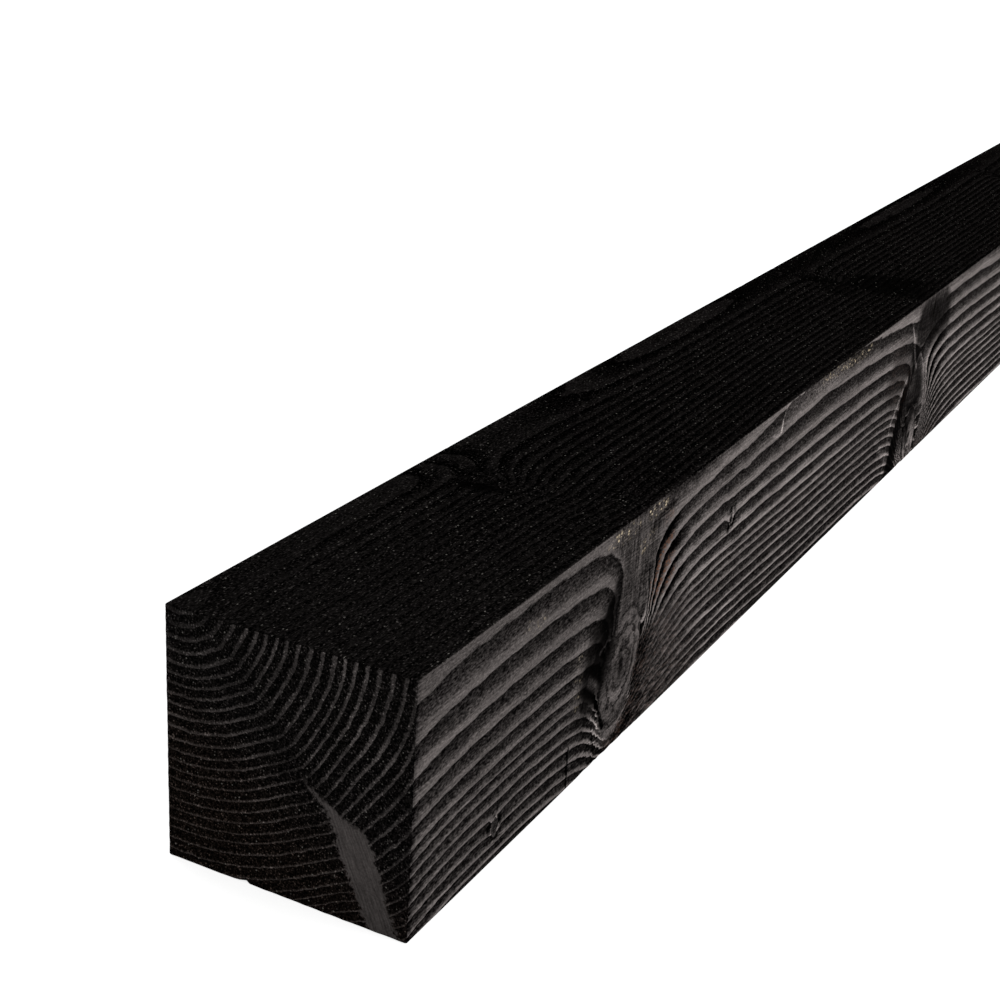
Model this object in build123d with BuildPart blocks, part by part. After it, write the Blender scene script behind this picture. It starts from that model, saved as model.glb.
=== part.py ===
"""A sawn square timber beam: one piece of softwood with worn arrises, cross-cut square at both ends.

The beam lies on its lower side with its length along Y. The origin is at the middle of the lower side.
The near end, at -Y, has a splinter torn out of its lower edge.
"""

import os

from build123d import *

# Section and length of the stock, in millimetres
section_width = 150.0
section_height = 150.0
beam_length = 2500.0

# Wear: flats worn on the four long edges, and on the edges round each cross-cut end
arris_wear = 1.2
end_wear = 0.8

# Splinter torn out of the lower edge of the near end
nick_from_left_side = 48.0
nick_width = 10.0
nick_depth = 2.0
nick_reach = 18.0
nick_far_share = 0.3  # of its width and depth, left where it runs out inside the beam
nick_peak_share = 0.8  # of its width, from its left corner to its deepest point

# Places that follow from the sizes above
near_end = Plane.XZ.offset(beam_length / 2)
nick_left = nick_from_left_side - section_width / 2 - nick_width / 2


def torn_corner(share):
    """Outline of the torn splinter in the plane of an end, at a share of its full size about its deepest point."""
    peak = nick_left + nick_peak_share * nick_width
    left = peak - share * nick_peak_share * nick_width
    right = left + share * nick_width
    with BuildLine() as outline:
        Polyline((left, 0), (peak, share * nick_depth), (right, 0), close=True)
    return outline.line


with BuildPart() as beam:
    # Sawn section with worn arrises, run out to both ends from the middle
    with BuildSketch(Plane.XZ) as section:
        with Locations((0, section_height / 2)):
            Rectangle(section_width, section_height)
        chamfer(section.vertices(), arris_wear)
    extrude(amount=beam_length / 2, both=True)

    # Worn edges round the cross-cut ends
    ends = beam.faces().filter_by(Axis.Y)
    chamfer(ends.edges(), end_wear)

    # The torn splinter gets narrower and shallower along the grain
    with BuildSketch(near_end) as nick_mouth:
        add(torn_corner(1.0))
        make_face()
    with BuildSketch(near_end.offset(-nick_reach)) as nick_tail:
        add(torn_corner(nick_far_share))
        make_face()
    loft(sections=[nick_mouth.sketch, nick_tail.sketch], mode=Mode.SUBTRACT)

beam.part.label = "beam"

os.makedirs("parts", exist_ok=True)
export_step(beam.part, "parts/beam.step")
print("beam volume", round(beam.part.volume), "mm3, box", beam.part.bounding_box().size)
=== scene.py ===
import math

import bpy
from mathutils import Matrix, Vector


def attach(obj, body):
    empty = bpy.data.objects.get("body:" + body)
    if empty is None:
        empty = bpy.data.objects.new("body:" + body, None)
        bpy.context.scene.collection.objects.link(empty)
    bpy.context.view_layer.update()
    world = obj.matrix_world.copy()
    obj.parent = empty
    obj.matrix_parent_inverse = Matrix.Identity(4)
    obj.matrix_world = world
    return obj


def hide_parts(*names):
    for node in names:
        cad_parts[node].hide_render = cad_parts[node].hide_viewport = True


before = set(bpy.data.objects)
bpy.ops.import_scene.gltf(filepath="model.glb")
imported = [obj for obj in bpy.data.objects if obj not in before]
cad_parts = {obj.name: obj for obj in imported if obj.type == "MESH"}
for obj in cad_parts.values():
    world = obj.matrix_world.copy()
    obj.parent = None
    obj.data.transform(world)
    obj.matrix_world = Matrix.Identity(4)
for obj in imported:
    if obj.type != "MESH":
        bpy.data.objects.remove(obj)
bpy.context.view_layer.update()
scene = bpy.context.scene
scene.view_settings.view_transform = "Standard"


class Wire:
    # a node socket that can stand in a sum like a number
    def __init__(self, tree, socket=None):
        self.tree = tree
        self.socket = socket

    def node(self, kind, settings=None, inputs=None, output=0):
        made = self.tree.nodes.new(kind)
        for name, value in (settings or {}).items():
            setattr(made, name, value)
        for name, value in (inputs or {}).items():
            if isinstance(value, Wire):
                self.tree.links.new(value.socket, made.inputs[name])
            else:
                made.inputs[name].default_value = value
        return Wire(self.tree, made.outputs[output] if len(made.outputs) else None)

    def out(self, name):
        return Wire(self.tree, self.socket.node.outputs[name])

    def maths(self, operation, *others):
        return self.node("ShaderNodeMath", {"operation": operation}, dict(enumerate((self, *others))))

    def __add__(self, other):
        return self.maths("ADD", other)

    def __sub__(self, other):
        return self.maths("SUBTRACT", other)

    def __mul__(self, other):
        return self.maths("MULTIPLY", other)

    def __truediv__(self, other):
        return self.maths("DIVIDE", other)

    def __pow__(self, other):
        return self.maths("POWER", other)

    def __rsub__(self, other):
        return self.node("ShaderNodeMath", {"operation": "SUBTRACT"}, {0: other, 1: self})

    __radd__ = __add__
    __rmul__ = __mul__

    def atLeast(self, other):
        return self.maths("MAXIMUM", other)

    def atMost(self, other):
        return self.maths("MINIMUM", other)

    def below(self, other):
        return self.maths("LESS_THAN", other)

    def frac(self):
        return self.maths("FRACT")

    def root(self):
        return self.maths("SQRT")

    def ramp(self, low, high, first=0.0, last=1.0):
        # eases from one value at low to another at high
        return self.node("ShaderNodeMapRange", {"interpolation_type": "SMOOTHSTEP"},
                         {"Value": self, "From Min": low, "From Max": high, "To Min": first, "To Max": last})

    def vector(self, operation, other, output="Vector"):
        return self.node("ShaderNodeVectorMath", {"operation": operation}, {0: self, 1: other}, output)

    def spot(self, other):
        # two numbers as a place in a plane
        return self.node("ShaderNodeCombineXYZ", None, {"X": self, "Y": other})

    def stretched(self, size):
        # the place, counted in steps of size
        return self.vector("DIVIDE", size)

    def noise(self, size, detail=2.0, roughness=0.5):
        return self.node("ShaderNodeTexNoise", None,
                         {"Vector": self.stretched(size), "Scale": 1.0, "Detail": detail, "Roughness": roughness})

    def tinted(self, amount, colour):
        # the colour on this wire, mixed towards another
        return self.node("ShaderNodeMix", {"data_type": "RGBA"}, {0: amount, 6: self, 7: colour}, 2)


def awayFromLine(spot, start, end):
    # distance to the straight line from start to end, and the share of the way along it
    run = Vector((end[0] - start[0], end[1] - start[1], 0))
    offset = spot.vector("SUBTRACT", (*start, 0))
    along = offset.vector("DOT_PRODUCT", run / run.length_squared, "Value")
    share = spot.node("ShaderNodeClamp", None, {"Value": along})
    foot = spot.node("ShaderNodeVectorMath", {"operation": "SCALE"}, {0: run, "Scale": share})
    return offset.vector("DISTANCE", foot, "Value"), share


def asRead(a, v):
    # places along and down the right side in the tables below were read off with a slightly longer rule
    return a * 1.016 + 1.6, v * 1.0157 - 0.1


# lengths in millimetres: u from the left side, v down from the top, a along from the near end
timber = {
    "section": 150.0,
    "length": 2500.0,
    "arris": 1.4,           # rounding of the long edges
    "endRounding": 0.9,
    "rightCells": 104,      # cells of the mesh across each side
    "topCells": 80,
    "leftCells": 42,
    "bottomCells": 36,
    "nearCapCells": 88,
    "farCapCells": 40,
    "capInset": 2.6,
    "fineStep": 3.4,        # along the beam, at a whorl of knots
    "coarseStep": 13.0,
    "hiddenStep": 24.0,
    "shownTo": 1000.0,
    "whorls": (0.0, 262.0, 893.0, 1530.0, 2170.0),
    "whorlReach": 66.0,
    "stepGrowth": 0.25,     # of the way from a whorl, added to the step
    "shoulderRing": 41,     # last ring that bends over the first knot
    # width of the growth rings from a distance to the pith on
    "growth": ((0, 7.65), (45.9, 6.2), (70.7, 7.2), (99.5, 5.85), (117.05, 6.54), (143.2, 5.5),
               (148.7, 7.2), (177.5, 4.85), (187.2, 5.7), (198.6, 6.7), (212.0, 5.4), (217.4, 6.6)),
    "ringDepth": 0.55,
    "cleftDepth": 1.6,
    "rimDepth": 0.4,        # round a knot
    "sawWander": 0.7,
    "tornDepth": 0.6,
    "chipDepth": 0.35,      # splinters lost along the arrises
    "nick": {"peak": 51.0, "left": 8.0, "right": 2.0, "depth": 2.0, "reach": 18.0, "runOut": 0.7},
}

# where each branch stands: along the beam, its turn about the pith in degrees, how fast it thickens, how far it
# swells the rings, and how soon that fades on the near and far sides. The knot itself may drop to one side of the
# swelling. Shades, torn wood, bay and lee are counted from the knot in the branch's own radius, along the beam and
# across it. A shade is a line, its half width, how softly it ends and how dark it is
branches = (
    {"along": 251, "turn": 39.5, "cone": 0.142, "swell": 1.6, "fade": 1.86,
     "near": 2.5, "nearBelow": 1.6, "far": 0.77, "drop": 0.3, "core": 1.06,
     "shades": (((-0.6, -2.1), (-0.8, -1.5), 0.0, 0.7, 0.7), ((-0.85, -1.5), (-1.0, -0.9), 0.05, 1.0, 0.95),
                ((-1.0, -0.85), (-1.45, -0.3), 0.2, 0.6, 1.0), ((-1.25, -1.2), (-1.65, -0.5), 0.15, 1.2, 0.75)),
     "bay": (-1.6, 3.4), "pocket": 1.65, "lee": 1.0, "brown": 1.0},
    {"along": 888, "turn": 46.0, "cone": 0.135, "swell": 1.9, "fade": 2.06,
     "near": 1.24, "far": 0.8, "farAbove": 1.0, "core": 0.68, "drop": 0.47,
     "torn": (((-3.6, -2.6), (-2.0, -1.5), 0.4, 0.9, 0.5),),
     "shades": (((-1.38, -1.15), (-1.7, 0.5), 0.22, 0.42, 0.97), ((-1.05, -1.1), (-0.75, -0.4), 0.2, 0.7, 0.6),
                ((0.0, -3.7), (3.2, -3.5), 0.8, 1.0, 0.6), ((-3.4, -2.3), (-1.9, -2.5), 0.5, 1.2, 0.36),
                ((-0.8, -2.2), (0.1, -1.0), 0.4, 0.8, 0.62)),
     "bay": (-1.6, 4.6), "pocket": 1.2, "lee": 0.5, "brown": 0.5},
    {"along": 93, "turn": 46.6, "cone": 0.018, "swell": 0.6},
    {"along": 427, "turn": 35.7, "cone": 0.022, "swell": 0.6},
    {"along": 879, "turn": 96.0, "cone": 0.1, "swell": 1.2,
     "shades": (((-0.9, -0.9), (-1.3, 0.3), 0.1, 0.3, 0.9),)},
    {"along": 1522, "turn": 27.0, "cone": 0.135, "swell": 1.5, "near": 1.3, "far": 0.8,
     "shades": (((-0.9, -1.2), (-1.4, 0.1), 0.12, 0.4, 1.0),), "bay": (-1.0, 2.0), "lee": 0.7},
    {"along": 1540, "turn": 70.0, "cone": 0.12, "swell": 1.4},
    {"along": 2163, "turn": 42.0, "cone": 0.13, "swell": 1.5, "near": 1.4, "far": 0.85,
     "shades": (((-0.8, -1.3), (-1.4, 0.2), 0.12, 0.4, 1.0),), "bay": (-1.0, 2.0), "lee": 0.7},
    {"along": 2178, "turn": 94.0, "cone": 0.105, "swell": 1.2},
)


def sectionLoop():
    # the beam's outline, anticlockwise as seen from the near end, with the outward direction at each point
    half, top, arris = timber["section"] / 2, timber["section"], timber["arris"]
    flat = timber["section"] - 2 * arris
    sides = (((-half + arris, 0), (1, 0), (0, -1), timber["bottomCells"]),
             ((half, arris), (0, 1), (1, 0), timber["rightCells"]),
             ((half - arris, top), (-1, 0), (0, 1), timber["topCells"]),
             ((-half, top - arris), (0, -1), (-1, 0), timber["leftCells"]))
    points = []
    for start, along, outward, cells in sides:
        reaches = [flat * step / cells for step in range(cells + 1)]
        if outward == (0, -1):
            # the nick keeps its sharp corners
            nick = timber["nick"]
            corners = [nick["peak"] + side - arris for side in (-nick["left"], 0, nick["right"])]
            reaches = [r for r in reaches if min(abs(r - corner) for corner in corners) > 0.8]
            reaches = sorted(reaches + corners)
        for reach in reaches:
            points.append((start[0] + along[0] * reach, start[1] + along[1] * reach, outward[0], outward[1]))
        centre = (points[-1][0] - outward[0] * arris, points[-1][1] - outward[1] * arris)
        for turn in (30, 60):
            swing = math.radians(turn)
            nx = outward[0] * math.cos(swing) + along[0] * math.sin(swing)
            nz = outward[1] * math.cos(swing) + along[1] * math.sin(swing)
            points.append((centre[0] + nx * arris, centre[1] + nz * arris, nx, nz))
    return points


def stationsAlong():
    # close together at the whorls of knots, wide apart on clear wood
    places = [0.0]
    while places[-1] < timber["length"]:
        here = places[-1]
        away = min(abs(here - whorl) for whorl in timber["whorls"]) - timber["whorlReach"]
        clear = timber["coarseStep"] if here < timber["shownTo"] else timber["hiddenStep"]
        places.append(here + min(clear, timber["fineStep"] + max(0.0, away) * timber["stepGrowth"]))
    fit = timber["length"] / places[-1]
    rounding = timber["endRounding"]
    first, last = 2.5 * rounding, timber["length"] - 2.5 * rounding
    inner = [(place * fit, 0.0) for place in places if first < place * fit < last]
    near = [(0.0, rounding), (0.29 * rounding, 0.29 * rounding), (rounding, 0.0)]
    far = [(timber["length"] - along, inset) for along, inset in reversed(near)]
    return near + inner + far


def zipLoops(outer, inner):
    # triangles between two closed loops of (share of the way round, vertex)
    faces, i, j = [], 0, 0
    while i < len(outer) or j < len(inner):
        nextOuter = outer[(i + 1) % len(outer)][0] + (i + 1) // len(outer)
        nextInner = inner[(j + 1) % len(inner)][0] + (j + 1) // len(inner)
        a, b = outer[i % len(outer)][1], inner[j % len(inner)][1]
        if j >= len(inner) or (i < len(outer) and nextOuter <= nextInner):
            faces.append((a, outer[(i + 1) % len(outer)][1], b))
            i += 1
        else:
            faces.append((a, inner[(j + 1) % len(inner)][1], b))
            j += 1
    return faces


def roundShare(x, z):
    # share of the way round the section from its lower left corner, anticlockwise
    half, full = timber["section"] / 2, timber["section"]
    u, w = x + half, z
    edge = min((w, 0), (full - u, 1), (full - w, 2), (u, 3))[1]
    return (edge + (u, w, full - u, full - w)[edge] / full) / 4


# the map that holds the unrolled sides as a strip and the two ends above it
unrolled = {"margin": 0.005, "stripLength": 0.99, "stripHeight": 0.735,
            "capSize": 0.245, "capLow": 0.747, "nearCapLeft": 0.01, "farCapLeft": 0.31}


def plainBeam():
    loop, stations = sectionLoop(), stationsAlong()
    count, half = len(loop), timber["section"] / 2
    verts, faces, maps = [], [], []
    lengths = [0.0]
    for j in range(count):
        here, following = loop[j], loop[(j + 1) % count]
        lengths.append(lengths[-1] + math.hypot(following[0] - here[0], following[1] - here[1]))
    for along, inset in stations:
        verts += [(x - nx * inset, along - timber["length"] / 2, z - nz * inset) for x, z, nx, nz in loop]
    margin, stripLength, stripHeight = (unrolled[name] for name in ("margin", "stripLength", "stripHeight"))
    for i in range(len(stations) - 1):
        left, right = (margin + stripLength * stations[k][0] / timber["length"] for k in (i, i + 1))
        for j in range(count):
            following = (j + 1) % count
            low, high = (margin + stripHeight * lengths[k] / lengths[-1] for k in (j, j + 1))
            here, ahead = i * count, (i + 1) * count
            faces.append((here + j, ahead + j, ahead + following, here + following))
            maps += [(left, low), (right, low), (right, high), (left, high)]
    for atFarEnd in (False, True):
        cells = timber["farCapCells"] if atFarEnd else timber["nearCapCells"]
        ring = (len(stations) - 1) * count if atFarEnd else 0
        start, inset = len(verts), timber["capInset"]
        along = timber["length"] / 2 * (1 if atFarEnd else -1)
        reach = [inset + (timber["section"] - 2 * inset) * k / cells for k in range(cells + 1)]
        verts += [(u - half, along, w) for w in reach for u in reach]
        row = cells + 1
        capFaces = [tuple(start + k * row + m + corner for corner in (0, 1, row + 1, row))
                    for k in range(cells) for m in range(cells)]
        border = [k for k in range(row)] + [k * row + cells for k in range(1, row)]
        border += [cells * row + k for k in range(cells - 1, -1, -1)] + [k * row for k in range(cells - 1, 0, -1)]
        inner = sorted((roundShare(verts[start + k][0], verts[start + k][2]), start + k) for k in border)
        outer = sorted((roundShare(x, z), ring + j) for j, (x, z, nx, nz) in enumerate(loop))
        capFaces += zipLoops(outer, inner)
        mapLeft, mapLow = unrolled["farCapLeft" if atFarEnd else "nearCapLeft"], unrolled["capLow"]
        mapScale = unrolled["capSize"] / timber["section"]
        for face in capFaces:
            face = tuple(reversed(face)) if atFarEnd else face
            faces.append(face)
            maps += [(mapLeft + mapScale * (verts[k][0] + half), mapLow + mapScale * verts[k][2]) for k in face]
    mesh = bpy.data.meshes.new("beam")
    mesh.from_pydata([(x / 1000, y / 1000, z / 1000) for x, y, z in verts], [], faces)
    mesh.uv_layers.new(name="OFBake").uv.foreach_set("vector", [part for place in maps for part in place])
    mesh.shade_smooth()
    piece = bpy.data.objects.new("sawnBeam", mesh)
    scene.collection.objects.link(piece)
    triangles = sum(len(face) - 2 for face in faces)
    print("plain beam:", len(stations), "stations,", count, "points round,", triangles, "triangles")
    return piece


def growthField(place):
    # the tree that the beam was sawn from: rings round a pith just above the top, swollen round each branch
    cut = place.node("ShaderNodeSeparateXYZ", None, {0: place})
    u = cut.out("X") * 1000 + timber["section"] / 2
    v = timber["section"] - cut.out("Z") * 1000
    a = cut.out("Y") * 1000 + timber["length"] / 2
    plain = {"u": u, "v": v, "a": a}
    a, v = asRead(a, v)
    # the pith dips at the near end, is crooked past the first whorl and straightens again
    past = a.ramp(215, 310)
    crook = past * (1 - a.ramp(340, 620))
    later = a.ramp(620, 860)
    wander = ((a - 900) * (1 / 190)).maths("SINE") * a.ramp(900, 1300)
    pithU = 9 - 0.8 * past + 8.7 * crook + 4.6 * later + 2 * wander
    pithV = 10.4 * (a * (-1 / 45)).maths("EXPONENT") - 20.5 - 7 * past - 15 * crook - 4.7 * later + 3 * wander
    du, dv = u - pithU, v - pithV
    reach = (du * du + dv * dv).root()
    # near the end the rings are bent along the diagonal rather than round
    crease = (dv.maths("ARCTAN2", du) - 0.8).maths("ABSOLUTE").ramp(-0.06, 0.24)
    reach = reach * (1 + 0.032 * crease * (1 - u.ramp(105, 150)) * (1 - a.ramp(0, 90)))
    swell, nearest, knotRing, cleft, lee, brown, bay, pocket = 0, 9, 0, 0, 0, 0, 0, 0
    for branch in branches:
        swing = math.radians(branch["turn"])
        out = du * math.cos(swing) + dv * math.sin(swing)
        girth = out.atLeast(0) * branch["cone"] + 1
        x = (a - branch["along"]) / girth
        y = (dv * math.cos(swing) - du * math.sin(swing)) / girth
        near = branch.get("near", 1.0)
        near = near + y.ramp(-0.3, 0.6) * (branch.get("nearBelow", near) - near)
        far = branch.get("far", 1.0)
        far = far + (1 - y.ramp(-1.4, -0.4)) * (branch.get("farAbove", far) - far)
        pulled = x.atLeast(0) * far + x.atMost(0) * near
        pulled = (y * y + pulled * pulled).root()
        swell = girth * branch["swell"] * pulled.atLeast(1) ** -branch.get("fade", 2.2) + swell
        y = y - branch.get("drop", 0.0)
        fromAxis = (x * x + y * y).root()
        close = fromAxis * (1 / branch.get("core", 1.0))
        nearer = close.below(nearest)
        knotRing = knotRing + (fromAxis * girth - knotRing) * nearer
        nearest = close.atMost(nearest)
        for first, last, half, soft, strength in branch.get("shades", ()):
            away, share = awayFromLine(x.spot(y), first, last)
            cleft = ((1 - away.ramp(half, half + soft)) * strength).atLeast(cleft)
        for first, last, half, soft, strength in branch.get("torn", ()):
            away, share = awayFromLine(x.spot(y), first, last)
            lee = ((1 - away.ramp(half, half + soft)) * strength).atLeast(lee)
        if branch.get("bay"):
            left, right = branch["bay"]
            above = x.ramp(left, left + 0.9) * (1 - x.ramp(right - 1.2, right)) * (1 - y.ramp(-0.95, -0.7))
            bay = above.atLeast(bay)
            pocketEnd = branch.get("pocket", 1.5)
            beside = x.ramp(0.4, 0.7) * (1 - x.ramp(pocketEnd - 0.25, pocketEnd)) * (1 - y.ramp(-0.5, -0.2))
            pocket = (beside * y.ramp(-2.2, -1.6)).atLeast(pocket)
            fan = x.ramp(1.3, 1.6) * (1 - x.ramp(2.6, 4.0)) * y.ramp(-2.7, -2.2) * (1 - y.ramp(-0.4, 0.2))
            brown = (fan * branch.get("brown", 0.8)).atLeast(brown)
            under = (x.ramp(0.35, 0.95) * y.ramp(-0.05, 0.35)).atLeast(x.ramp(-0.7, -0.2) * y.ramp(0.9, 1.05))
            lee = (under * (1 - x.ramp(1.8, 5.0)) * (1 - y.ramp(2.2, 3.0)) * branch["lee"]).atLeast(lee)
    grown = reach - swell
    ring = grown / timber["growth"][0][1]
    for (start, width), (following, newWidth) in zip(timber["growth"], timber["growth"][1:]):
        ring = ring + (grown - following).atLeast(0) * (1 / newWidth - 1 / width)
    return {**plain, "ring": ring + 20, "knot": nearest, "knotRing": knotRing,
            "cleft": cleft, "lee": lee, "brown": brown, "bay": bay, "pocket": pocket}


def lateWood(ring, low, high, ragged=0.0):
    # each ring goes slowly from soft dark wood to hard pale wood and ends there at a sharp edge
    part = ring.frac()
    return (part + ragged).ramp(low, high) * (1 - part.ramp(0.96, 1.0))


def shoulder(ring, bay, a):
    # the wood over a knot, up to the last ring that bends round it
    last = timber["shoulderRing"] + a.ramp(560, 580)
    return bay * (1 - (ring - last).ramp(-0.14, 0.0))


def reliefTree(stain):
    tree = bpy.data.node_groups.new("timberRelief", "GeometryNodeTree")
    tree.is_modifier = True
    tree.interface.new_socket("Geometry", in_out="OUTPUT", socket_type="NodeSocketGeometry")
    tree.interface.new_socket("Geometry", in_out="INPUT", socket_type="NodeSocketGeometry")
    for name in ("Ring depth", "Cleft depth"):
        tree.interface.new_socket(name, in_out="INPUT", socket_type="NodeSocketFloat")
    start = Wire(tree)
    given = start.node("NodeGroupInput")
    place = start.node("GeometryNodeInputPosition")
    facing = start.node("GeometryNodeInputNormal")
    field = growthField(place)
    shape = given.out("Geometry")
    kept = [("facing", "FLOAT_VECTOR", facing)]
    kept += [(name, "FLOAT", value) for name, value in field.items() if name not in ("u", "v", "a")]
    for name, kind, value in kept:
        shape = start.node("GeometryNodeStoreNamedAttribute", {"data_type": kind, "domain": "POINT"},
                           {"Geometry": shape, "Name": name, "Value": value})
    u, v, a = field["u"], field["v"], field["a"]
    turned = start.node("ShaderNodeSeparateXYZ", None, {0: facing})
    onEnd = turned.out("Y").maths("ABSOLUTE").ramp(0.4, 0.8)
    onTop = turned.out("Z").ramp(0.4, 0.8)
    inKnot = 1 - field["knot"].ramp(0.94, 1.02)
    hard = lateWood(field["ring"], 0.3 + v * 0.0012, 0.85)
    calm = (1 - inKnot) * (1 - shoulder(field["ring"], field["bay"], a)) * (1 - 0.7 * field["lee"])
    toSide, toTop = u.atMost(timber["section"] - u), v.atMost(timber["section"] - v)
    toEdge = toSide + toTop
    hidden = (turned.out("Z") * -1).atLeast(turned.out("X") * -1).ramp(0.4, 0.8)
    calm = calm * toEdge.ramp(0.5, 7.0) * (1 - 0.6 * hidden)
    depth = given.out("Ring depth") * (1 - 0.5 * onEnd) * (1 - 0.5 * onTop) * calm * (1 - hard)
    rim = field["knot"].ramp(0.9, 1.0) * (1 - field["knot"].ramp(1.02, 1.15))
    depth = depth + rim * timber["rimDepth"] * (1 - onEnd)
    inside = toTop.ramp(0.0, 9.0) * toSide.ramp(-1.0, 9.0).atLeast(turned.out("X").maths("ABSOLUTE"))
    depth = depth + field["cleft"].ramp(0.45, 1.0) * given.out("Cleft depth") * (1 - onEnd) * inside
    # the saw wandered a little, and tore the grain round the knots
    depth = depth + (place.noise((0.06, 0.25, 0.06), 2) - 0.36).atLeast(0) * timber["sawWander"]
    torn = (1 - field["knot"].ramp(1.0, 2.2)) * (1 - onEnd) * (1 - inKnot)
    depth = depth + torn * place.noise((0.004, 0.009, 0.004), 2).ramp(0.4, 0.7) * timber["tornDepth"]
    # splinters lost along the arrises
    chips = place.noise((0.004, 0.022, 0.004), 3, 0.6).ramp(0.55, 0.75)
    depth = depth + chips * (1 - toEdge.ramp(0.0, 4.0)) * (1 - onEnd) * timber["chipDepth"]
    moved = start.node("ShaderNodeVectorMath", {"operation": "SCALE"}, {0: facing, "Scale": depth * -0.001})
    shape = start.node("GeometryNodeSetPosition", None, {"Geometry": shape, "Offset": moved})
    # the torn splinter in the lower edge of the near end
    nick = timber["nick"]
    place = start.node("ShaderNodeSeparateXYZ", None, {0: start.node("GeometryNodeInputPosition")})
    u = place.out("X") * 1000 + timber["section"] / 2
    a = place.out("Y") * 1000 + timber["length"] / 2
    left = 1 - a.atLeast(0) * (nick["runOut"] / nick["reach"])
    roof = ((u - nick["peak"]) / (left * nick["left"]) + 1).atMost((nick["peak"] - u) / (left * nick["right"]) + 1)
    roof = roof.atLeast(0) * left * (nick["depth"] / 1000) * a.below(nick["reach"])
    lifted = start.node("ShaderNodeCombineXYZ", None,
                        {"X": place.out("X"), "Y": place.out("Y"), "Z": place.out("Z").atLeast(roof)})
    shape = start.node("GeometryNodeSetPosition", None, {"Geometry": shape, "Position": lifted})
    shape = start.node("GeometryNodeRealizeInstances", None, {"Geometry": shape})
    shape = start.node("GeometryNodeSetMaterial", None, {"Geometry": shape, "Material": stain})
    start.node("NodeGroupOutput", None, {"Geometry": shape})
    return tree


# marks on the right side: a line along and down from the near upper corner, its half width, how softly it ends,
# and how much lighter or darker it is
marks = {
    "slip of the saw": (
        ((183.0, 124.0), (183.5, 151.0), 0.6, 1.0, -0.34),
        ((191.0, 55.0), (190.0, 102.0), 4.0, 7.0, 0.04)),
    "scratch": (
        ((521.0, 2.0), (516.0, 11.0), 0.4, 1.4, 0.15),
        ((515.0, 12.0), (512.0, 19.0), 0.6, 2.0, 0.34),
        ((497.0, 19.0), (510.0, 21.0), 0.4, 1.8, 0.12)),
    "pin knots": (
        ((425.0, 51.0), (421.0, 66.0), 1.0, 2.6, -0.18),
        ((432.0, 50.0), (430.5, 63.0), 0.8, 2.2, -0.15),
        ((428.5, 52.0), (426.0, 64.0), 0.4, 1.6, 0.08),
        ((86.0, 128.0), (86.5, 131.0), 0.6, 2.6, -0.15),
        ((98.0, 127.0), (99.0, 130.0), 0.6, 2.6, -0.15)),
    "shake in the first knot": (
        ((250.0, 87.0), (250.5, 104.0), 0.8, 3.0, -0.12),),
    "splinters beside it": (
        ((210.0, 92.0), (219.0, 99.0), 1.5, 4.0, 0.15),
        ((223.0, 79.0), (235.0, 74.0), 0.3, 1.6, 0.12),
        ((261.0, 0.0), (261.5, 40.0), 0.2, 1.0, -0.07)),
    "torn slivers before the second knot": (
        ((850.0, 18.0), (880.0, 62.0), 0.8, 2.4, 0.2),
        ((854.0, 66.0), (818.0, 100.0), 0.8, 2.8, 0.22),
        ((818.0, 100.0), (811.0, 149.0), 0.3, 1.6, 0.12),
        ((792.0, 116.0), (820.0, 134.0), 1.5, 5.0, 0.12)),
    "crumple below the first knot": (
        ((206.0, 106.0), (224.0, 128.0), 1.5, 4.5, 0.07),
        ((214.0, 122.0), (230.0, 148.0), 1.0, 4.0, 0.06),
        ((219.0, 112.0), (230.0, 131.0), 0.6, 2.4, -0.2),
        ((236.0, 138.0), (262.0, 136.0), 0.3, 2.2, 0.12),
        ((186.0, 86.0), (192.0, 104.0), 2.0, 6.0, 0.05)),
    "heart of the second knot": (
        ((894.0, 116.0), (900.0, 136.0), 2.5, 6.0, 0.16),
        ((877.0, 120.0), (882.0, 133.0), 2.0, 6.0, -0.12),
        ((906.0, 54.0), (928.0, 105.0), 3.0, 10.0, 0.1)),
    # a painted highlight along the upper arris of the right side
    "painted arris highlight": (
        ((526.0, 2.0), (660.0, 3.0), 3.0, 9.0, 0.1),),
}

# where golden sawdust sticks, on the right side too, and how much
dusty = (((222.0, 6.0), (258.0, 7.0), 1.0), ((278.0, 4.0), (300.0, 6.0), 1.0),
         ((268.0, 26.0), (284.0, 20.0), 0.5), ((604.0, 3.0), (722.0, 7.0), 0.9),
         ((120.0, 20.0), (136.0, 22.0), 0.35), ((191.0, 66.0), (191.0, 98.0), 0.3))

# pale cross-grained wood in the near end, as lines with a half width at either end
patch = (((86.0, 76.0), (100.0, 86.0), 0.1, 1.8), ((99.0, 85.0), (116.5, 103.0), 1.6, 9.2),
         ((116.5, 103.0), (136.5, 152.0), 10.6, 8.0))


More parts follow.
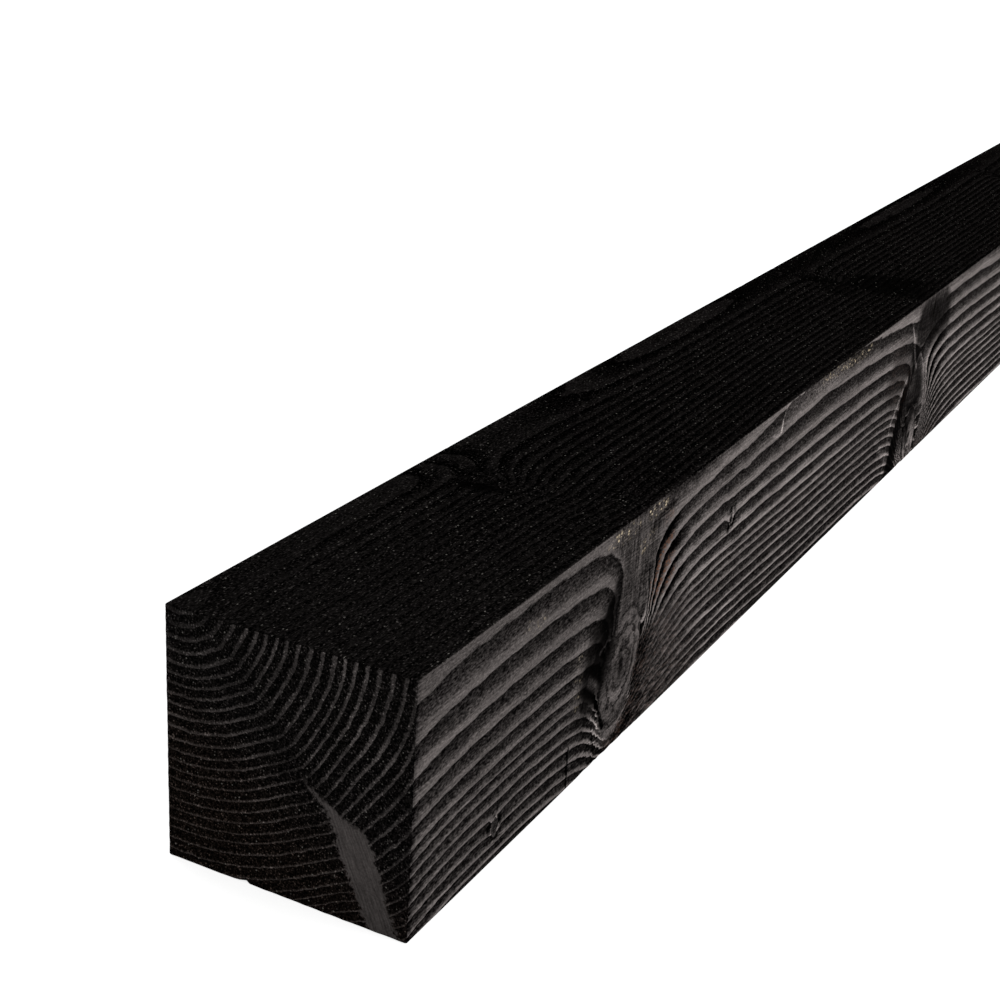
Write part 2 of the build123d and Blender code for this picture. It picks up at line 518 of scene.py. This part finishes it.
def blackStain():
    # soft wood soaks the stain up and goes black, hard wood stays grey. Tones are as seen, 0 black to 1 white, and
    # are turned into light at the end
    look = {
        "warmth": (1.10, 0.975, 0.94),
        "brown": (0.105, 0.036, 0.012, 1),
        "straw": (0.5, 0.41, 0.29, 1),
        # grey of the painted glints on sawdust crumbs
        "crumbGlint": (0.36, 0.34, 0.31, 1),
        # the top's low tones are partly stain and partly painted shade, for the little light the top gets
        "soft": {"side": 0.125, "end": 0.05, "top": 0.06},
        "hard": {"side": 0.31, "end": 0.24, "top": 0.08},
        "grain": {"side": 0.31, "end": 0.21, "top": 0.25},
        "redden": (1.22, 1.0, 0.87, 1),
        "patch": 0.29,
        "knotRingWidth": 8.5,
        "bumpStrength": 0.7,
        "bumpHeight": 0.0006,
    }
    material = bpy.data.materials.new("blackStainedTimber")
    material.use_nodes = True
    tree = material.node_tree
    tree.nodes.clear()
    start = Wire(tree)

    def kept(name, output=2):
        return start.node("ShaderNodeAttribute", {"attribute_name": name}, None, output)

    place = start.node("ShaderNodeTexCoord", None, None, "Object").stretched((0.001, 0.001, 0.001))
    cut = start.node("ShaderNodeSeparateXYZ", None, {0: place})
    u = cut.out("X") + timber["section"] / 2
    v = timber["section"] - cut.out("Z")
    a = cut.out("Y") + timber["length"] / 2
    turned = start.node("ShaderNodeSeparateXYZ", None, {0: kept("facing", 1)})
    onEnd = turned.out("Y").maths("ABSOLUTE").ramp(0.4, 0.8)
    onTop = turned.out("Z").ramp(0.4, 0.8)
    onRight = turned.out("X").ramp(0.4, 0.8)

    def byFace(values):
        return values["side"] + onEnd * (values["end"] - values["side"]) + onTop * (values["top"] - values["side"])

    fibre = place.noise((2.4, 9.0, 2.4), 4, 0.75) - 0.5
    fleck = place.noise((1.1, 2.4, 1.1), 1, 0.5) - 0.5
    pits = place.noise((0.9, 1.8, 0.9), 1, 0.5) - 0.5
    streak = place.noise((1.2, 70.0, 1.2), 3, 0.65) - 0.5
    upright = place.noise((34.0, 2.6, 34.0), 2, 0.6) - 0.5
    wave = place.noise((6.0, 20.0, 6.0), 2, 0.5) - 0.5
    crinkle = place.noise((4.5, 7.0, 4.5), 2, 0.6) - 0.5
    torn = place.noise((2.2, 16.0, 2.2), 2, 0.6) - 0.5
    blotch = place.noise((45.0, 170.0, 45.0), 1, 0.5) - 0.5
    ripple = place.noise((22.0, 40.0, 22.0), 1, 0.5) - 0.5
    cloud = place.noise((24.0, 60.0, 24.0), 1, 0.5) - 0.5
    knot = kept("knot") + crinkle * 0.16
    lee = kept("lee")
    cleft = (kept("cleft") + crinkle * 0.35 + torn * 0.4).ramp(0.0, 1.0)
    # growth rings
    plainRing = kept("ring")
    over = shoulder(plainRing + crinkle * 0.1, kept("bay"), a).atLeast(kept("pocket") * 0.9)
    over = over * (1 - onEnd) * (1 - onTop * 0.85)
    upset = (1 - knot.ramp(1.0, 2.0)) * (1 - onEnd) * (1 - kept("bay")) * (1 - kept("pocket"))
    # the grain is wavy beyond the first knot
    wavy = a.ramp(280, 330) * (1 - a.ramp(380, 540)) * onRight
    ring = plainRing + streak * 0.17 + wave * 0.28 + crinkle * upset * 1.3 + ripple * wavy * 0.55
    low = 0.18 + v * (0.0014 + onRight * 0.0008) + a.ramp(250, 450) * onRight * 0.04 + onEnd * 0.36
    high = low + 0.64 - onEnd * 0.42 - onRight * v * 0.0016
    late = lateWood(ring, low, high, (fibre + fleck * 0.4) * (0.26 - onEnd * 0.06))
    late = late * (1 + blotch * 0.7) * (1 + streak * 0.8)
    # ring lines of the end are faint round the pith, low on the left and where they turn down
    faint = (1 - awayFromLine(u.spot(v), (48.0, 22.0), (92.0, 88.0))[0].ramp(2, 22)) * 0.5
    lowLeft = (v - u * 0.6).ramp(10, 90) * onEnd
    faint = faint + lowLeft * 0.1 + (1 - plainRing.ramp(22.0, 26.0)) * 0.5
    faint = faint + (1 - u.ramp(30, 80)) * 0.08 + u.ramp(134, 148) * 0.3
    late = late * (1 - faint.atMost(0.9) * onEnd) * (1 + cloud * onEnd * 1.4)
    # torn wood in the lee of a knot, and smooth wood over it
    late = late + (0.24 + torn * 2.3 + crinkle * 0.9 - (1 - knot.ramp(1.05, 2.0)) * 0.5 - late) * lee * 0.7
    late = late + (0.4 + upright * 2.0 + streak * 1.2 + cloud * 1.4 - late) * over * 0.92
    # the knots' own rings
    inKnot = 1 - knot.ramp(0.95, 1.0)
    knotRing = kept("knotRing") / look["knotRingWidth"] + crinkle * 1.5 + wave * 0.8 + 10
    knotLate = 0.1 + (0.41 + cloud * 1.8) * lateWood(knotRing, 0.1, 0.75) + crinkle * 0.8 + torn * 0.45
    late = late + (knotLate - late) * inKnot * (1 - onEnd)
    # the top darkens along its first 0.3 m, partly stain and partly painted shade
    soft = byFace(look["soft"]) - onTop * a.ramp(30, 300) * 0.05
    soft = soft + onRight * (0.015 - v * 0.0003 - a.ramp(250, 450) * 0.004)
    # the right side's pale bands get paler farther along, with less stain, and are painted lighter lower down,
    # painted light where the side is less lit
    hard = byFace(look["hard"]) + onRight * (a.ramp(150, 450) * 0.1 + v * 0.0006)
    part = ring.frac()
    contrast = upset * (1 - lee) * (1 - inKnot) * (late.atMost(1) - 0.45) * 0.16
    tone = soft + (hard - soft) * late + (streak * 0.12 + contrast) * onRight
    tone = tone - kept("brown").atMost(0.5) * (1 - part.ramp(0.25, 0.6)) * (1 - onTop) * 0.28
    # painted shadow just under each hard ring edge, stronger lower down the side
    edgeShadow = (1 - part.ramp(0.0, 0.3)) * (1 - onEnd) * (1 - onTop * 0.45) * (1 - over) * (1 - inKnot)
    tone = tone - edgeShadow * (0.04 + v * 0.0002)
    # paler cross-grained wood runs down to a corner of the near end
    patchAt = 0
    spot = (u + crinkle * 10 + fibre * 13).spot(v + crinkle * 10)
    for lineStart, lineEnd, halfStart, halfEnd in patch:
        away, share = awayFromLine(spot, lineStart, lineEnd)
        patchAt = (1 - (away - share * (halfEnd - halfStart)).ramp(halfStart - 1.2, halfStart + 1.2)).atLeast(patchAt)
    patchAt = patchAt * (1 - a.ramp(3, 9)) * onEnd
    sloped = (u * 0.92 - v * 0.39).spot(u * 0.39 + v * 0.92)
    patchTone = look["patch"] + (sloped.noise((1.0, 16.0, 1.0), 2, 0.6) - 0.5) * 0.24 - (v - 95).ramp(0, 60) * 0.03
    tone = tone + (patchTone - tone) * patchAt
    grain = byFace(look["grain"]) * (1 - patchAt * 0.6) * (1.15 - late.atMost(1).atLeast(0) * 0.45 * (1 - onEnd))
    tone = tone + (fibre * 0.7 + fleck * 1.1 + pits * 0.6) * grain
    # pale specks on the end and top: painted glints on torn fibres and crumbs
    tone = tone + (fleck + pits).ramp(0.08, 0.4) ** 2 * (onEnd + onTop * 0.7) * (1 - patchAt) * 0.16
    rim = knot.ramp(0.92, 0.99) * (1 - knot.ramp(1.0, 1.12)) * (1 - onEnd)
    tone = tone + rim * (v.ramp(112, 126) * onRight * 0.2 - 0.07)
    # end grain drinks more stain, also from the side
    tone = tone - (1 - a.ramp(0.5, 5.0)) * onRight * 0.08
    tone = tone * (1 - cleft * 0.9 * (1 - over * (1 - a.ramp(560, 580)) * 0.6))
    readA, readV = asRead(a, v)
    spot, blemish = (readA + crinkle * 2).spot(readV + streak * 2 + crinkle * 2), 0
    for lines in marks.values():
        for first, last, half, blur, lighter in lines:
            away, share = awayFromLine(spot, first, last)
            blemish = away.ramp(half, half + blur, lighter, 0.0) + blemish
    tone = tone + blemish * onRight * (0.85 + fleck * 1.6 + torn)
    light = (tone.atLeast(-0.03) * (1 / 1.055) + 0.0521) ** 2.4
    colour = start.node("ShaderNodeVectorMath", {"operation": "SCALE"}, {0: look["warmth"], "Scale": light})
    grooves = part.ramp(0.38, 0.55) * (1 - part.ramp(0.7, 0.92))
    reddish = lowLeft * (1 - patchAt) * (1 - late.atMost(1).atLeast(0) * 0.7)
    colour = start.node("ShaderNodeMix", {"data_type": "RGBA", "blend_type": "MULTIPLY"},
                        {0: reddish, 6: colour, 7: look["redden"]}, 2)
    # rusty brown between the rings beside a knot and in the torn wood
    rust = kept("brown").ramp(0.5, 1.0) * grooves * (1 - over) * (fibre + fleck).ramp(-0.1, 0.15)
    rust = rust + lee * (torn + fleck).ramp(0.0, 0.25) * 0.16
    colour = colour.tinted(rust.atMost(1) * 0.8 * (1 - onTop), look["brown"])
    # bright specks: painted glints on sawdust crumbs and fibres, most on the end and top
    dots = start.node("ShaderNodeTexVoronoi", None, {"Vector": place.stretched((2.2, 3.4, 2.2)), "Scale": 1.0})
    chosen = start.node("ShaderNodeSeparateColor", None, {0: dots.out("Color")})
    crumbGlints = (1 - dots.out("Distance").ramp(0.1, 0.28)) * chosen.out("Red").ramp(0.66, 1.0) ** 3
    colour = colour.tinted(crumbGlints * (0.04 + 0.38 * onEnd * (1 - patchAt) + 0.45 * onTop), look["crumbGlint"])
    # and golden ones caught along the upper arris
    golden = (1 - dots.out("Distance").ramp(0.2, 0.5)) * chosen.out("Green").ramp(0.35, 0.9) ** 2
    golden = golden.atLeast((fleck + pits).ramp(0.08, 0.4) * 0.3)
    spot, dustAt = readA.spot(readV), 0
    for first, last, amount in dusty:
        away, share = awayFromLine(spot, first, last)
        dustAt = away.ramp(1.0, 7.0, amount, 0.0).atLeast(dustAt)
    colour = colour.tinted(golden * dustAt * onRight, look["straw"])
    bumped = start.node("ShaderNodeBump", None, {
        "Strength": look["bumpStrength"], "Distance": look["bumpHeight"], "Height": fibre + fleck * 0.6})
    shader = start.node("ShaderNodeBsdfPrincipled", None, {
        "Base Color": colour, "Roughness": 0.9 - late.atMost(1).atLeast(0) * 0.2, "Normal": bumped,
        "Specular IOR Level": 0.0})
    start.node("ShaderNodeOutputMaterial", None, {"Surface": shader})
    return material


def reliefBeam():
    stain = blackStain()
    piece = plainBeam()
    tree = reliefTree(stain)
    relief = piece.modifiers.new("relief", "NODES")
    relief.node_group = tree
    sizes = {"Ring depth": timber["ringDepth"], "Cleft depth": timber["cleftDepth"]}
    for item in tree.interface.items_tree:
        if item.in_out == "INPUT" and item.name in sizes:
            relief[item.identifier] = sizes[item.name]
    graph = bpy.context.evaluated_depsgraph_get()
    dressed = piece.evaluated_get(graph)
    made = bpy.data.meshes.new_from_object(dressed, preserve_all_data_layers=True, depsgraph=graph)
    piece.modifiers.clear()
    piece.data = made
    print("relief beam:", len(made.polygons), "faces")
    return piece


studio = {
    "eye": (0.44439, -1.89426, 0.54),
    "right": (0.881881, 0.467606, 0.060253),
    "down": (0.228818, -0.312754, -0.921861),
    "forward": (-0.412223, 0.826758, -0.382809),
    "lens": 63.703,
    "shift": (-0.02, 0.025),     # the photograph is not cut about the middle of its lens
    "worldLight": 0.3,
    "floorColour": 0.8,
    "floorGlow": 0.76,
    "floorReach": 14,
    # name, place, what it points at, size, watts
    "lamps": (("keyLamp", (3.2, -0.1, 0.9), (0, -0.4, 0.1), 2.4, 108),
              ("frontLamp", (-1.4, -4.4, 1.2), (0, -1.0, 0.1), 2.0, 28),
              ("leftLamp", (-3.4, 0.4, 0.9), (0, 0.2, 0.1), 2.4, 60)),
}


def softLamp(name, place, target, size, watts):
    light = bpy.data.lights.new(name, "AREA")
    light.shape = "SQUARE"
    light.size = size
    light.energy = watts
    lamp = bpy.data.objects.new(name, light)
    lamp.location = place
    lamp.rotation_euler = (Vector(target) - Vector(place)).to_track_quat("-Z", "Y").to_euler()
    scene.collection.objects.link(lamp)


def seenDirectly(start):
    # 1 for what the camera sees, also in a mirror or through glass
    rays = start.node("ShaderNodeLightPath")
    return rays.out("Is Camera Ray").atLeast(rays.out("Is Glossy Ray")).atLeast(rays.out("Is Transmission Ray"))


def setStudio():
    camera = bpy.data.objects.new("camera", bpy.data.cameras.new("camera"))
    camera.data.lens = studio["lens"]
    camera.data.sensor_width = 36
    camera.data.shift_x, camera.data.shift_y = studio["shift"]
    camera.data.clip_end = 60
    turn = Matrix((studio["right"], [-d for d in studio["down"]], [-f for f in studio["forward"]])).transposed()
    camera.matrix_world = Matrix.Translation(studio["eye"]) @ turn.to_4x4()
    scene.collection.objects.link(camera)
    scene.camera = camera
    for lamp in studio["lamps"]:
        softLamp(*lamp)
    world = bpy.data.worlds.new("studioWorld")
    scene.world = world
    world.use_nodes = True
    world.node_tree.nodes.clear()
    start = Wire(world.node_tree)
    strength = seenDirectly(start) * (1 - studio["worldLight"]) + studio["worldLight"]
    white = start.node("ShaderNodeBackground", None, {"Color": (1, 1, 1, 1), "Strength": strength})
    start.node("ShaderNodeOutputWorld", None, {"Surface": white})
    mesh = bpy.data.meshes.new("floor")
    reach = studio["floorReach"]
    corners = [(x * reach, y * reach, 0) for x, y in ((-1, -1), (1, -1), (1, 1), (-1, 1))]
    mesh.from_pydata(corners, [], [(0, 1, 2, 3)])
    floor = bpy.data.objects.new("floor", mesh)
    scene.collection.objects.link(floor)
    paper = bpy.data.materials.new("paper")
    paper.use_nodes = True
    paper.node_tree.nodes.clear()
    start = Wire(paper.node_tree)
    matt = start.node("ShaderNodeBsdfDiffuse", None, {"Color": (studio["floorColour"],) * 3 + (1,)})
    glow = start.node("ShaderNodeEmission", None, {"Strength": seenDirectly(start) * studio["floorGlow"]})
    both = start.node("ShaderNodeAddShader", None, {0: matt, 1: glow})
    start.node("ShaderNodeOutputMaterial", None, {"Surface": both})
    mesh.materials.append(paper)
    print("studio set")


setStudio()
beam = reliefBeam()
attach(beam, "root")
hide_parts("beam")
